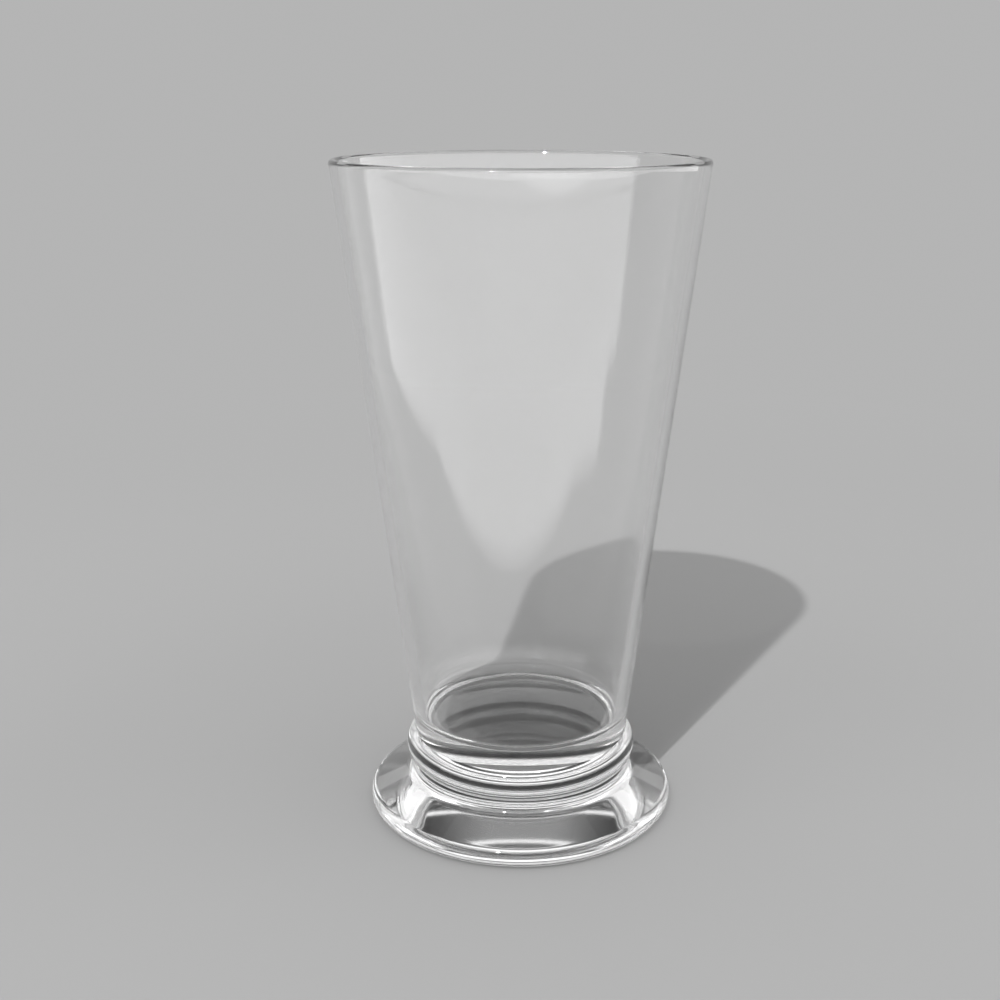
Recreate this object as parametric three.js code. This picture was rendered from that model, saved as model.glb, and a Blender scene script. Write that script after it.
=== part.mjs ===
// A footed water glass, empty: a straight tapered bowl, a round glass collar under it
// and a solid foot that spreads to the table. Three gathers of clear glass, pressed
// together hot, so each sits flat on the one below.
// Millimetres, +Z up. The origin is on the table, in the middle of the foot.
import * as THREE from "three";

// Driving dimensions
const overallHeight = 151; // table to the top of the rim
const rimRadius = 41; // outside of the bowl at its rim
const rimWall = 1.8; // bowl wall at the rim
const bowlBaseRadius = 25.1; // outside of the bowl where it sits on the collar
const baseWall = 2.7; // bowl wall at the foot of the bowl
const bowlFloor = 3.7; // glass between the collar and the floor inside the bowl
const floorCorner = 3.5; // radius of the rounded corner inside the bowl
const collarHeight = 7.4; // thickness of the collar
const collarProud = 2; // how far the collar stands out past the glass above and below
const neckRadius = 25.3; // top of the foot, where the collar sits on it
const footHeight = 11.3; // table to the underside of the collar
const footRadius = 36.1; // outside of the foot at its lip
const lipRadius = 2.5; // rounded lip of the foot
const flareDrop = 2.5; // how far below the collar the flare turns outwards
const contactWidth = 3.4; // flat ring under the lip that touches the table
const dishDepth = 0.2; // hollow under the middle of the foot

// Fineness of the facets
const turnFacets = 72; // around the glass
const rimFacets = 6; // over the rim
const cornerFacets = 6; // in the corner inside the bowl
const collarFacets = 8; // over the collar's round
const lipFacets = 7; // around the foot's lip
const bendFacets = 8; // where the flare bends up to the collar
const dishFacets = 4; // across the hollow under the foot

// Heights of the two joints and of the floor inside the bowl
const collarBottom = footHeight;
const collarTop = collarBottom + collarHeight;
const insideFloor = collarTop + bowlFloor;

const point = (radius, height) => new THREE.Vector2(radius, height);

// Points along a round from one angle to another, counted from straight out.
function round(centre, radius, fromAngle, toAngle, facets) {
  const turn = toAngle - fromAngle;
  return Array.from({ length: facets + 1 }, (_, i) => {
    const angle = fromAngle + (turn * i) / facets;
    return point(centre.x + radius * Math.cos(angle), centre.y + radius * Math.sin(angle));
  });
}

// Turns an outline, which runs anticlockwise from the axis and back to it, about +Z.
function turned(name, outline, colour) {
  const geometry = new THREE.LatheGeometry(outline, turnFacets);
  geometry.rotateX(Math.PI / 2);
  const glass = new THREE.MeshStandardMaterial({
    color: colour,
    roughness: 0.04,
    metalness: 0,
    transparent: true,
    opacity: 0.35,
  });
  const mesh = new THREE.Mesh(geometry, glass);
  mesh.name = name;
  return mesh;
}

// Bowl: straight walls that thin towards a fire-polished rim, over a flat floor.
function bowl() {
  const rimCentre = point(rimRadius - rimWall / 2, overallHeight - rimWall / 2);
  const innerRim = rimRadius - rimWall;
  const innerBase = bowlBaseRadius - baseWall;
  const lean = Math.atan2(innerRim - innerBase, rimCentre.y - collarTop);
  const cornerHeight = insideFloor + floorCorner;
  const wallAtCorner = innerBase + (cornerHeight - collarTop) * Math.tan(lean);
  const cornerCentre = point(wallAtCorner - floorCorner / Math.cos(lean), cornerHeight);
  return turned("bowl", [
    point(0, collarTop),
    point(bowlBaseRadius, collarTop),
    ...round(rimCentre, rimWall / 2, 0, Math.PI, rimFacets),
    ...round(cornerCentre, floorCorner, -lean, -Math.PI / 2, cornerFacets),
    point(0, insideFloor),
  ], 0xf2f6f6);
}

// Collar: a bead of glass between the bowl and the foot. Its round swells out from the
// line that joins the edge of the foot below to the edge of the bowl above.
function collar() {
  const lowerEdge = point(neckRadius, collarBottom);
  const upperEdge = point(bowlBaseRadius, collarTop);
  const rise = upperEdge.clone().sub(lowerEdge);
  const halfRise = rise.length() / 2;
  const beadRadius = (halfRise ** 2 + collarProud ** 2) / (2 * collarProud);
  const outward = point(rise.y, -rise.x).normalize();
  const beadCentre = lowerEdge.clone().lerp(upperEdge, 0.5);
  beadCentre.addScaledVector(outward, collarProud - beadRadius);
  const angleTo = (edge) => Math.atan2(edge.y - beadCentre.y, edge.x - beadCentre.x);
  return turned("collar", [
    point(0, collarBottom),
    ...round(beadCentre, beadRadius, angleTo(lowerEdge), angleTo(upperEdge), collarFacets),
    point(0, collarTop),
  ], 0xeef3f3);
}

// Foot: a solid cone with a rounded lip, a flat ring to stand on and a shallow hollow.
function foot() {
  const lipCentre = point(footRadius - lipRadius, lipRadius);
  const dishRadius = lipCentre.x - contactWidth;
  const hollow = Array.from({ length: dishFacets + 1 }, (_, i) => {
    const share = i / dishFacets;
    return point(dishRadius * share, dishDepth * (1 - share * share));
  });

  // The flare leaves the lip along the line from the turning point that just touches it,
  // and bends up to the collar over the same length on both sides of that point.
  const turning = point(neckRadius, footHeight - flareDrop);
  const reach = turning.clone().sub(lipCentre);
  const lipEnd = reach.angle() - Math.acos(lipRadius / reach.length());
  const lip = round(lipCentre, lipRadius, -Math.PI / 2, lipEnd, lipFacets);
  const bendStart = lip.at(-1).clone().sub(turning).setLength(flareDrop).add(turning);
  const bend = new THREE.QuadraticBezierCurve(bendStart, turning, point(neckRadius, footHeight));
  return turned("foot", [
    ...hollow,
    ...lip,
    ...bend.getPoints(bendFacets),
    point(0, footHeight),
  ], 0xeaf0f0);
}

const waterGlass = new THREE.Group();
waterGlass.name = "water_glass";
waterGlass.add(bowl(), collar(), foot());

export default waterGlass;
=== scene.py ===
# A footed water glass, empty. Three gathers of clear glass, a foot, a bead collar and a
# tapered bowl, are pressed together hot, so the joints inside the glass can't be seen.
# Metres, +Z up. The origin is on the table, in the middle of the foot.
import math

import bpy
from mathutils import Matrix, Vector


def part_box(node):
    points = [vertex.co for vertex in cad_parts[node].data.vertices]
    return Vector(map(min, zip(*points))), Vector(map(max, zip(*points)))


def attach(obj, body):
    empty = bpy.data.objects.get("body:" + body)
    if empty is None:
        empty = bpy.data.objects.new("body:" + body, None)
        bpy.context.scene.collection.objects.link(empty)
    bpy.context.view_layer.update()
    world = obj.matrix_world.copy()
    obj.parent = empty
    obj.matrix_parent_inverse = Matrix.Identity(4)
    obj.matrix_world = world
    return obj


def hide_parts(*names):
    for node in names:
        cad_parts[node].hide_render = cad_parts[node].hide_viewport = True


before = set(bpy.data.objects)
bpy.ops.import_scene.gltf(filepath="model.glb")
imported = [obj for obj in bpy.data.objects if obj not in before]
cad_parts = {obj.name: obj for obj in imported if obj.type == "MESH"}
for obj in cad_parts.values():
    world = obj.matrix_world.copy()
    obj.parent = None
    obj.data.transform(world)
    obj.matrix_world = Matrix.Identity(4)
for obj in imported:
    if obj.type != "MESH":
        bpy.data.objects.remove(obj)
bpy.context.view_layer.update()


# Foot: a pressed cone of clear glass that spreads from its neck to a rounded lip.
# It stands on a flat ring under the lip, around a shallow hollow, and it is fused to
# the collar across the whole of its flat top.
MM = 0.001
TURN_STEPS = 288
ROUND_STEPS = 28
END_STRIP = 0.01
SEAM_GAP = 0.0001 * MM
CREASE_ANGLE = math.radians(25)
JOINT_TOLERANCE = 0.005 * MM
foot_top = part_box("foot")[1].z
foot_radius = 36.1 * MM
lip_radius = 2.5 * MM
neck_radius = 25.3 * MM
flare_drop = 2.5 * MM
contact_width = 3.4 * MM
hollow_depth = 0.2 * MM


def add(tree, kind, inputs=None, **settings):
    """Adds a node with its settings. Its inputs are set to values, or linked to outputs of other nodes."""
    node = tree.nodes.new(kind)
    for name, value in settings.items():
        setattr(node, name, value)
    for key, value in (inputs or {}).items():
        if isinstance(value, bpy.types.NodeSocket):
            tree.links.new(value, node.inputs[key])
        else:
            node.inputs[key].default_value = value
    return node


def reckon(tree, operation, *terms):
    """Adds a calculation on one, two or three terms, and gives its result."""
    return add(tree, "ShaderNodeMath", dict(enumerate(terms)), operation=operation).outputs[0]


def socket(tree, name, kind, direction="INPUT"):
    """Declares one named input or output of a node tree."""
    return tree.interface.new_socket(name, in_out=direction, socket_type=f"NodeSocket{kind}")


def turning_group():
    """Turns an outline of (radius, 0, height) points about the axis into one closed skin."""
    tree = bpy.data.node_groups.new("turn about the axis", "GeometryNodeTree")
    socket(tree, "Outline", "Geometry")
    socket(tree, "Steps", "Int")
    socket(tree, "Skin", "Geometry", "OUTPUT")
    given = add(tree, "NodeGroupInput")
    outline = given.outputs["Outline"]
    steps = given.outputs["Steps"]

    size = add(tree, "GeometryNodeAttributeDomainSize", {"Geometry": outline}, component="CURVE")
    rows = size.outputs["Point Count"]
    columns = reckon(tree, "ADD", steps, 1)
    grid = add(tree, "GeometryNodeMeshGrid", {"Vertices X": columns, "Vertices Y": rows})
    index = add(tree, "GeometryNodeInputIndex").outputs[0]
    row = reckon(tree, "MODULO", index, rows)
    column = reckon(tree, "FLOOR", reckon(tree, "DIVIDE", index, rows))
    angle = reckon(tree, "MULTIPLY", reckon(tree, "DIVIDE", column, steps), math.tau)
    place = add(tree, "GeometryNodeInputPosition")
    point = add(tree, "GeometryNodeSampleIndex", {
        "Geometry": outline, "Value": place.outputs[0], "Index": row},
        data_type="FLOAT_VECTOR", domain="POINT")
    turned = add(tree, "ShaderNodeVectorRotate", {"Vector": point.outputs[0], "Angle": angle},
                 rotation_type="Z_AXIS")
    skin = add(tree, "GeometryNodeSetPosition", {
        "Geometry": grid.outputs["Mesh"], "Position": turned.outputs[0]})
    closed = add(tree, "GeometryNodeMergeByDistance", {"Geometry": skin.outputs[0], "Distance": SEAM_GAP})
    edge = add(tree, "GeometryNodeInputMeshEdgeAngle")
    crease = add(tree, "FunctionNodeCompare", {"A": edge.outputs["Unsigned Angle"], "B": CREASE_ANGLE},
                 data_type="FLOAT", operation="GREATER_THAN")
    smooth = add(tree, "GeometryNodeSetShadeSmooth", {
        "Geometry": closed.outputs[0], "Shade Smooth": True}, domain="FACE")
    creased = add(tree, "GeometryNodeSetShadeSmooth", {
        "Geometry": smooth.outputs[0], "Selection": crease.outputs[0], "Shade Smooth": False}, domain="EDGE")
    add(tree, "NodeGroupOutput", {"Skin": creased.outputs[0]})
    return tree


turn_about_axis = turning_group()


def outline_tree(name, points, runs):
    """A tree with a named input for each corner of an outline. Its runs are straight lines between
    two corners, arcs through three, or bends pulled towards the middle one."""
    tree = bpy.data.node_groups.new(name, "GeometryNodeTree")
    for corner in points:
        socket(tree, corner, "Vector")
    socket(tree, "Turn Steps", "Int")
    socket(tree, "Round Steps", "Int")
    socket(tree, "Glass", "Material")
    socket(tree, "Joint", "Material")
    socket(tree, "Joint Below", "Float")
    socket(tree, "Joint Above", "Float")
    socket(tree, "Piece", "Geometry", "OUTPUT")
    given = add(tree, "NodeGroupInput").outputs
    arc_points = reckon(tree, "ADD", given["Round Steps"], 1)
    joined = add(tree, "GeometryNodeJoinGeometry")
    # What is joined last comes first, so the runs are made from the last to the first.
    for kind, *corners in reversed(runs):
        ends = [given[corner] for corner in corners]
        if kind == "line":
            # A narrow strip at each end keeps the shading of the round stretches off the straight one.
            after, before = (
                add(tree, "ShaderNodeMix", {0: share, 4: ends[0], 5: ends[1]}, data_type="VECTOR").outputs[1]
                for share in (END_STRIP, 1 - END_STRIP))
            stops = (ends[0], after, before, ends[1])
            parts = [add(tree, "GeometryNodeCurvePrimitiveLine", {"Start": start, "End": end})
                     for start, end in zip(stops, stops[1:])]
        elif kind == "arc":
            parts = [add(tree, "GeometryNodeCurveArc", {
                "Start": ends[0], "Middle": ends[1], "End": ends[2], "Resolution": arc_points},
                mode="POINTS")]
        else:
            parts = [add(tree, "GeometryNodeCurveQuadraticBezier", {
                "Start": ends[0], "Middle": ends[1], "End": ends[2], "Resolution": given["Round Steps"]})]
        for part in reversed(parts):
            tree.links.new(part.outputs["Curve"], joined.inputs[0])
    turned = add(tree, "GeometryNodeGroup", node_tree=turn_about_axis)
    tree.links.new(joined.outputs[0], turned.inputs["Outline"])
    tree.links.new(given["Turn Steps"], turned.inputs["Steps"])
    real = add(tree, "GeometryNodeRealizeInstances", {"Geometry": turned.outputs[0]})
    dressed = add(tree, "GeometryNodeSetMaterial", {"Geometry": real.outputs[0], "Material": given["Glass"]})
    place = add(tree, "GeometryNodeInputPosition").outputs[0]
    height = add(tree, "ShaderNodeSeparateXYZ", {0: place}).outputs["Z"]
    for level in ("Joint Below", "Joint Above"):
        flat = add(tree, "FunctionNodeCompare", {"A": height, "B": given[level], "Epsilon": JOINT_TOLERANCE},
                   data_type="FLOAT", operation="EQUAL")
        dressed = add(tree, "GeometryNodeSetMaterial", {
            "Geometry": dressed.outputs[0], "Selection": flat.outputs[0], "Material": given["Joint"]})
    add(tree, "NodeGroupOutput", {"Piece": dressed.outputs[0]})
    return tree


def turned_piece(name, points, runs, glass, joints):
    """Makes a piece from its outline, as a plain mesh. Joints are the heights of its fused faces."""
    tree = outline_tree(f"{name} outline", points, runs)
    piece = bpy.data.objects.new(name, bpy.data.meshes.new(name))
    bpy.context.scene.collection.objects.link(piece)
    modifier = piece.modifiers.new("outline", "NODES")
    modifier.node_group = tree
    keys = {item.name: item.identifier for item in tree.interface.items_tree if item.in_out == "INPUT"}
    values = {corner: (radius, 0, height) for corner, (radius, height) in points.items()}
    values |= {"Turn Steps": TURN_STEPS, "Round Steps": ROUND_STEPS, "Glass": glass, "Joint": fused_joint,
               "Joint Below": joints[0], "Joint Above": joints[1]}
    for label, value in values.items():
        modifier[keys[label]] = value
    evaluated = piece.evaluated_get(bpy.context.evaluated_depsgraph_get())
    mesh = bpy.data.meshes.new_from_object(evaluated)
    # The first slot comes out empty.
    mesh.materials.pop(index=0)
    piece.modifiers.remove(modifier)
    piece.data = mesh
    mesh.name = name
    return piece


def fused_joint_material():
    """The faces where two gathers have melted into one can't be seen."""
    material = bpy.data.materials.new("fused_joint")
    material.use_nodes = True
    material.node_tree.nodes["Principled BSDF"].inputs["Alpha"].default_value = 0
    return material


fused_joint = fused_joint_material()
GLASS_IOR = 1.5
POLISH = 0.045
HAZE = 0.06
HAZE_SCALE = 60
HAZE_FROM = 0.5
HAZE_ALL = 0.75


def glass_surface_group():
    """The skin of fire-polished glass: a faint ripple, and a little haze where it has been handled."""
    tree = bpy.data.node_groups.new("glass surface", "ShaderNodeTree")
    socket(tree, "Ripple Scale", "Float")
    socket(tree, "Haze Scale", "Float")
    socket(tree, "Polish", "Float")
    socket(tree, "Haze", "Float")
    socket(tree, "Ripple", "Float", "OUTPUT")
    socket(tree, "Roughness", "Float", "OUTPUT")
    given = add(tree, "NodeGroupInput").outputs
    where = add(tree, "ShaderNodeTexCoord").outputs["Object"]
    ripple = add(tree, "ShaderNodeTexNoise", {"Vector": where, "Scale": given["Ripple Scale"], "Detail": 1})
    marks = add(tree, "ShaderNodeTexNoise", {"Vector": where, "Scale": given["Haze Scale"], "Detail": 4})
    spread = add(tree, "ShaderNodeMapRange", {
        "Value": marks.outputs["Fac"], "From Min": HAZE_FROM, "From Max": HAZE_ALL,
        "To Min": given["Polish"], "To Max": given["Haze"]})
    add(tree, "NodeGroupOutput", {"Ripple": ripple.outputs["Fac"], "Roughness": spread.outputs[0]})
    return tree


glass_surface = glass_surface_group()


def glass_material(name, colour, ripple_scale, ripple_height, passed):
    """Clear glass. Passed is the share of the light that each skin lets through to the shadow."""
    material = bpy.data.materials.new(name)
    material.use_nodes = True
    tree = material.node_tree
    tree.nodes.clear()
    surface = add(tree, "ShaderNodeGroup", node_tree=glass_surface)
    surface.inputs["Ripple Scale"].default_value = ripple_scale
    surface.inputs["Haze Scale"].default_value = HAZE_SCALE
    surface.inputs["Polish"].default_value = POLISH
    surface.inputs["Haze"].default_value = HAZE
    bump = add(tree, "ShaderNodeBump", {
        "Height": surface.outputs["Ripple"], "Strength": 1, "Distance": ripple_height})
    glass = add(tree, "ShaderNodeBsdfPrincipled", {
        "Base Color": colour, "Roughness": surface.outputs["Roughness"], "IOR": GLASS_IOR,
        "Transmission Weight": 1, "Normal": bump.outputs[0]})
    passing = add(tree, "ShaderNodeBsdfTransparent", {"Color": (passed, passed, passed, 1)})
    shadow = add(tree, "ShaderNodeLightPath").outputs["Is Shadow Ray"]
    mixed = add(tree, "ShaderNodeMixShader", {0: shadow, 1: glass.outputs[0], 2: passing.outputs[0]})
    add(tree, "ShaderNodeOutputMaterial", {"Surface": mixed.outputs[0]})
    return material


# The flare runs straight from the bend under the neck to where it touches the lip's circle.
lip_centre = Vector((foot_radius - lip_radius, lip_radius))
flare_turn = Vector((neck_radius, foot_top - flare_drop))
reach = flare_turn - lip_centre
lip_end_angle = math.atan2(reach.y, reach.x) - math.acos(lip_radius / reach.length)
lip_end = lip_centre + lip_radius * Vector((math.cos(lip_end_angle), math.sin(lip_end_angle)))
bend_start = flare_turn + flare_drop * (lip_end - flare_turn).normalized()
hollow_radius = lip_centre.x - contact_width
foot_glass = glass_material(
    "clear_foot_glass", colour=(0.98, 0.98, 0.98, 1), ripple_scale=40, ripple_height=0.004 * MM,
    passed=0.9)
foot = turned_piece(
    "glass_foot",
    {
        "Hollow Centre": (0, hollow_depth),
        "Hollow Bend": (hollow_radius / 2, hollow_depth),
        "Hollow Edge": (hollow_radius, 0),
        "Lip Bottom": (lip_centre.x, 0),
        "Lip Side": (foot_radius, lip_radius),
        "Lip End": lip_end,
        "Bend Start": bend_start,
        "Flare Turn": flare_turn,
        "Neck Edge": (neck_radius, foot_top),
        "Neck Centre": (0, foot_top),
    },
    [
        ("bend", "Hollow Centre", "Hollow Bend", "Hollow Edge"),
        ("line", "Hollow Edge", "Lip Bottom"),
        ("arc", "Lip Bottom", "Lip Side", "Lip End"),
        ("line", "Lip End", "Bend Start"),
        ("bend", "Bend Start", "Flare Turn", "Neck Edge"),
        ("line", "Neck Edge", "Neck Centre"),
    ],
    foot_glass,
    (foot_top, foot_top),
)
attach(foot, "root")
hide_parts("foot")


# Collar: a round bead of clear glass, pressed flat between the foot and the bowl while
# all three were soft. The sharp creases above and below it are where they met.
collar_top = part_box("collar")[1].z
bowl_base_radius = 25.1 * MM
collar_proud = 2 * MM
collar_glass = glass_material(
    "clear_collar_glass", colour=(0.98, 0.98, 0.98, 1), ripple_scale=45, ripple_height=0.004 * MM,
    passed=0.9)
lower_edge = Vector((neck_radius, foot_top))
upper_edge = Vector((bowl_base_radius, collar_top))
rise = upper_edge - lower_edge
collar = turned_piece(
    "glass_collar",
    {
        "Lower Centre": (0, foot_top),
        "Lower Edge": lower_edge,
        "Bead Side": (lower_edge + upper_edge) / 2 + collar_proud * Vector((rise.y, -rise.x)).normalized(),
        "Upper Edge": upper_edge,
        "Upper Centre": (0, collar_top),
    },
    [
        ("line", "Lower Centre", "Lower Edge"),
        ("arc", "Lower Edge", "Bead Side", "Upper Edge"),
        ("line", "Upper Edge", "Upper Centre"),
    ],
    collar_glass,
    (foot_top, collar_top),
)
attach(collar, "root")
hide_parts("collar")


# Bowl: a straight tapered cup of clear glass. Its wall thins from the thick floor to a
# fire-polished rim, and the corner inside is rounded.
rim_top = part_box("bowl")[1].z
rim_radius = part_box("bowl")[1].x
rim_wall = 1.8 * MM
base_wall = 2.7 * MM
bowl_floor = 3.7 * MM
floor_corner = 3.5 * MM
inside_floor = collar_top + bowl_floor
rim_centre = Vector((rim_radius - rim_wall / 2, rim_top - rim_wall / 2))
inner_rim = rim_radius - rim_wall
inner_base = bowl_base_radius - base_wall
lean = math.atan2(inner_rim - inner_base, rim_centre.y - collar_top)
corner_height = inside_floor + floor_corner
corner_radius = inner_base + (corner_height - collar_top) * math.tan(lean) - floor_corner / math.cos(lean)
corner_centre = Vector((corner_radius, corner_height))
half_turn = (lean + math.pi / 2) / 2
bowl_glass = glass_material(
    "clear_bowl_glass", colour=(0.99, 0.99, 0.99, 1), ripple_scale=30, ripple_height=0.006 * MM,
    passed=0.3)
bowl = turned_piece(
    "glass_bowl",
    {
        "Base Centre": (0, collar_top),
        "Base Edge": (bowl_base_radius, collar_top),
        "Rim Outside": (rim_radius, rim_centre.y),
        "Rim Top": (rim_centre.x, rim_top),
        "Rim Inside": (inner_rim, rim_centre.y),
        "Corner Top": corner_centre + floor_corner * Vector((math.cos(lean), -math.sin(lean))),
        "Corner Middle": corner_centre + floor_corner * Vector((math.cos(half_turn), -math.sin(half_turn))),
        "Corner Bottom": corner_centre - floor_corner * Vector((0, 1)),
        "Floor Centre": (0, inside_floor),
    },
    [
        ("line", "Base Centre", "Base Edge"),
        ("line", "Base Edge", "Rim Outside"),
        ("arc", "Rim Outside", "Rim Top", "Rim Inside"),
        ("line", "Rim Inside", "Corner Top"),
        ("arc", "Corner Top", "Corner Middle", "Corner Bottom"),
        ("line", "Corner Bottom", "Floor Centre"),
    ],
    bowl_glass,
    (collar_top, collar_top),
)
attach(bowl, "root")
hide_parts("bowl")


# Table: a plain pale top with a matt coat of paint. It ends in front of the glass, which
# mirrors its edge in the bowl, and far from the glass it runs into the backdrop's colour.
BACKDROP = 0.46
PALE = (BACKDROP, BACKDROP, BACKDROP, 1)
TABLE_GAP = 0.05 * MM
TABLE_TURN = math.radians(15)
table_front = -0.5
table_back = 1.6
table_side = 1.2
fade_start = 0.24
fade_end = 0.46


def table_paint_material():
    """Matt pale paint that takes the shadow of the glass, and fades into the backdrop further out."""
    material = bpy.data.materials.new("table_paint")
    material.use_nodes = True
    tree = material.node_tree
    tree.nodes.clear()
    where = add(tree, "ShaderNodeTexCoord").outputs["Object"]
    distance = add(tree, "ShaderNodeVectorMath", {0: where}, operation="LENGTH").outputs["Value"]
    far = add(tree, "ShaderNodeMapRange", {
        "Value": distance, "From Min": fade_start, "From Max": fade_end}, interpolation_type="SMOOTHSTEP")
    paint = add(tree, "ShaderNodeBsdfDiffuse", {"Color": PALE})
    backdrop = add(tree, "ShaderNodeEmission", {"Color": PALE})
    coat = add(tree, "ShaderNodeMixShader", {0: far.outputs[0], 1: paint.outputs[0], 2: backdrop.outputs[0]})
    add(tree, "ShaderNodeOutputMaterial", {"Surface": coat.outputs[0]})
    return material


table_mesh = bpy.data.meshes.new("table")
table_mesh.from_pydata(
    [(-table_side, table_front, -TABLE_GAP), (table_side, table_front, -TABLE_GAP),
     (table_side, table_back, -TABLE_GAP), (-table_side, table_back, -TABLE_GAP)],
    [], [(0, 1, 2, 3)])
table_mesh.transform(Matrix.Rotation(TABLE_TURN, 4, "Z"))
table_mesh.materials.append(table_paint_material())
table = bpy.data.objects.new("table", table_mesh)
bpy.context.scene.collection.objects.link(table)


# Light: a dark studio with broad soft boxes around the glass, and a small key lamp high up
# at the front left. What shows beside the glass, and straight through it, is the backdrop.
DARK = 0.06
DARK_FROM = math.radians(12)
DARK_ALL = math.radians(18)
SOFT_EDGE = 0.5
WHITE = (1, 1, 1, 1)
key_power = 20.8
key_radius = 14 * MM
key_place = (-0.345, -0.965, 1.2)
world = bpy.data.worlds.new("studio")
bpy.context.scene.world = world
world.use_nodes = True
studio = world.node_tree
studio.nodes.clear()
towards = add(studio, "ShaderNodeTexCoord").outputs["Generated"]
across, deep, upward = add(studio, "ShaderNodeSeparateXYZ", {0: towards}).outputs
turn_angle = reckon(studio, "ARCTAN2", across, reckon(studio, "MULTIPLY", deep, -1))
height_angle = reckon(studio, "ARCSINE", upward)


def soft_band(angle, middle, half, edge):
    """1 within a band of angles, in degrees, and 0 outside it, with a soft edge."""
    off = reckon(studio, "SUBTRACT", angle, math.radians(middle))
    apart = reckon(studio, "ABSOLUTE", reckon(studio, "WRAP", off, math.pi, -math.pi))
    band = add(studio, "ShaderNodeMapRange", {
        "Value": apart, "From Min": math.radians(half - edge), "From Max": math.radians(half + edge),
        "To Min": 1, "To Max": 0}, interpolation_type="SMOOTHSTEP")
    return band.outputs[0]


def soft_box(light, strength, turn, half_width, height, half_height, edge=SOFT_EDGE):
    """Adds a soft box to the light. Its middle is turned from the front to the right, and raised."""
    wide = soft_band(turn_angle, turn, half_width, edge)
    tall = soft_band(height_angle, height, half_height, edge)
    return reckon(studio, "MULTIPLY_ADD", reckon(studio, "MULTIPLY", wide, tall), strength, light)


light = add(studio, "ShaderNodeMapRange", {
    "Value": height_angle, "From Min": DARK_FROM, "From Max": DARK_ALL,
    "To Min": BACKDROP, "To Max": DARK}, interpolation_type="SMOOTHSTEP").outputs[0]
# In front: a sheet above the table's edge, one below it, and one higher up.
light = soft_box(light, strength=2.0, turn=22, half_width=106, height=7.5, half_height=7.5)
light = soft_box(light, strength=2.0, turn=26.5, half_width=101.5, height=-22.5, half_height=22.5)
light = soft_box(light, strength=1.4, turn=15, half_width=87, height=47.5, half_height=12.5)
# At the sides: a wide box on the left and a narrow one on the right.
light = soft_box(light, strength=0.5, turn=-100, half_width=28, height=32.5, half_height=17.5)
light = soft_box(light, strength=0.5, turn=115, half_width=13, height=32.5, half_height=17.5)
# Behind: two long strips, and a faint panel between them. Above: a faint round box.
light = soft_box(light, strength=1.2, turn=180, half_width=52, height=20, half_height=4)
light = soft_box(light, strength=1.2, turn=180, half_width=52, height=40, half_height=4)
light = soft_box(light, strength=0.25, turn=180, half_width=8, height=30, half_height=4, edge=5)
light = soft_box(light, strength=0.2, turn=0, half_width=181, height=90, half_height=30)
path = add(studio, "ShaderNodeLightPath").outputs
unmirrored = reckon(studio, "LESS_THAN", path["Glossy Depth"], 1)
straight = reckon(studio, "MULTIPLY", path["Is Transmission Ray"], unmirrored)
seen = reckon(studio, "MAXIMUM", path["Is Camera Ray"], straight)
shown = add(studio, "ShaderNodeMix", {0: seen, 2: light, 3: BACKDROP}).outputs[0]
sky = add(studio, "ShaderNodeBackground", {"Color": WHITE, "Strength": shown})
add(studio, "ShaderNodeOutputWorld", {"Surface": sky.outputs[0]})
key = bpy.data.lights.new("key", "POINT")
key.energy = key_power
key.shadow_soft_size = key_radius
key.use_nodes = True
even = add(key.node_tree, "ShaderNodeLightFalloff", {"Strength": 1})
key.node_tree.links.new(even.outputs["Constant"], key.node_tree.nodes["Emission"].inputs["Strength"])
key_lamp = bpy.data.objects.new("key", key)
key_lamp.location = key_place
bpy.context.scene.collection.objects.link(key_lamp)


# Camera: in front of the glass and above its rim, as in the photograph. Light turns many
# times inside the thick foot before it gets out, so its path may be long.
LIGHT_TURNS = 64
camera_distance = 305.96 * MM
camera_height = 165.45 * MM
camera_pitch = math.radians(16.541)
camera = bpy.data.cameras.new("camera")
camera.lens = 50
camera.sensor_width = 36
camera.shift_x = -0.0206
camera.clip_start = 0.01
viewer = bpy.data.objects.new("camera", camera)
viewer.location = (0, -camera_distance, camera_height)
viewer.rotation_euler = (math.pi / 2 - camera_pitch, 0, 0)
bpy.context.scene.collection.objects.link(viewer)
scene = bpy.context.scene
scene.camera = viewer
scene.view_settings.view_transform = "Standard"
scene.cycles.max_bounces = LIGHT_TURNS
scene.cycles.transmission_bounces = LIGHT_TURNS
scene.cycles.glossy_bounces = LIGHT_TURNS
scene.cycles.transparent_max_bounces = LIGHT_TURNS
scene.cycles.caustics_reflective = False
scene.cycles.caustics_refractive = False
